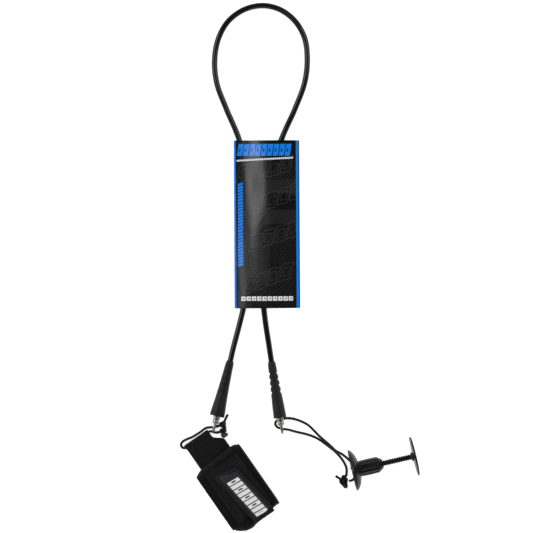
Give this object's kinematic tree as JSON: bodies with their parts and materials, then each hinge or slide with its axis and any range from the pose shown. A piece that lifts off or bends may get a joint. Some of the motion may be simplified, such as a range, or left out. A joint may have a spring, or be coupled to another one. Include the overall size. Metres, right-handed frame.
{
  "type": "bodyboard leash",
  "caption": "Bodyboard leash folded through a card sleeve, with a padded cuff on one end and a screw-together board plug on the other.",
  "frame": {"origin": "middle of the base of the box round every piece except the cord and the two strings, on the surface the leash lies on", "axes": "+Y runs from the cuff and plug towards the cord's fold, +Z away from the surface, +X towards the plug's side"},
  "size_m": [0.2623, 0.5819, 0.0455],
  "materials": {
    "horn_rubber": "matte moulded",
    "cord_urethane": "glossy extruded",
    "stainless": "polished, slightly scuffed",
    "crimp_brass": "plain",
    "printed_card": "coated card, printed",
    "tie_plastic": "plain",
    "braided_string": "braided",
    "tab_webbing": "woven",
    "neoprene": "knit-faced foam",
    "edge_binding": "woven tape",
    "closure_patch": "hook and loop pile",
    "flap_nylon": "laminated nylon",
    "label_print": "printed vinyl",
    "plug_plastic": "satin moulded"
  },
  "bodies": {
    "leash": {"leash_cord": "cord_urethane", "card_sleeve": "printed_card", "cord_tie": "tie_plastic", "cuff_horn": "horn_rubber", "plug_horn": "horn_rubber", "cuff_ferrule": "crimp_brass", "plug_ferrule": "crimp_brass", "cuff_swivel_barrel": "stainless", "plug_swivel_barrel": "stainless"},
    "cuff_swivel": {"cuff_swivel_stud": "stainless", "cuff_swivel_bow": "stainless"},
    "plug_swivel": {"plug_swivel_stud": "stainless", "plug_swivel_bow": "stainless"},
    "cuff_loop": {"cuff_string": "braided_string", "cuff_string_knot": "braided_string"},
    "cuff": {"cuff_tab": "tab_webbing", "cuff_pad": "neoprene", "cuff_strap": "tab_webbing", "cuff_binding_left": "edge_binding", "cuff_binding_right": "edge_binding", "cuff_loop_patch": "closure_patch"},
    "cuff_closure": {"cuff_flap": "flap_nylon", "cuff_hook_patch": "closure_patch", "cuff_label": "label_print"},
    "plug_loop": {"plug_string": "braided_string"},
    "plug": {"plug_cup": "plug_plastic", "plug_bar": "stainless", "plug_string_knot": "braided_string"},
    "washer": {"plug_washer": "tie_plastic"},
    "screw": {"plug_screw": "plug_plastic"}
  },
  "joints": [
    {"name": "cuff_swivel_spin", "type": "hinge", "parent": "leash", "child": "cuff_swivel", "pos_m": [-0.09269, -0.0883, 0.0076], "axis": [-0.2343, -0.971, 0.0465], "continuous": true},
    {"name": "plug_swivel_spin", "type": "hinge", "parent": "leash", "child": "plug_swivel", "pos_m": [-0.02329, -0.0901, 0.0084], "axis": [0.152, -0.9866, 0.0586], "range_deg": [-45, 75]},
    {"name": "cuff_loop_swing", "type": "hinge", "parent": "cuff_swivel", "child": "cuff_loop", "pos_m": [-0.09549, -0.1001, 0.0076], "axis": [0, 0, 1], "range_deg": [-50, 3], "deforming": ["cuff_string"]},
    {"name": "cuff_hem_hinge", "type": "hinge", "parent": "cuff_loop", "child": "cuff", "pos_m": [-0.11464, -0.11471, 0.0031], "axis": [-0.8211, -0.5707, 0], "range_deg": [-60, 50]},
    {"name": "cuff_flap_hinge", "type": "hinge", "parent": "cuff", "child": "cuff_closure", "pos_m": [-0.04049, -0.19531, 0.0216], "axis": [0.7385, 0.6743, 0], "range_deg": [0, 150]},
    {"name": "plug_loop_swing", "type": "hinge", "parent": "plug_swivel", "child": "plug_loop", "pos_m": [-0.02168, -0.1019, 0.0087], "axis": [0, 0, 1], "range_deg": [-25, 10], "deforming": ["plug_string"]},
    {"name": "plug_bar_hinge", "type": "hinge", "parent": "plug_loop", "child": "plug", "pos_m": [0.05638, -0.14618, 0.0228], "axis": [0, 0, 1], "range_deg": [-30, 30]},
    {"name": "plug_screw_travel", "type": "slide", "parent": "plug", "child": "washer", "axis": [-0.9744, -0.225, 0], "range_m": [0, 0.0201]},
    {"name": "plug_screw_turn", "type": "hinge", "parent": "washer", "child": "screw", "pos_m": [0.10373, -0.13525, 0.0228], "axis": [-0.9744, -0.225, 0], "range_deg": [0, 2880]}
  ],
  "couplings": [
    {"joint": "plug_screw_travel", "follows": "plug_screw_turn", "m_per_rad": 0.00039789}
  ]
}
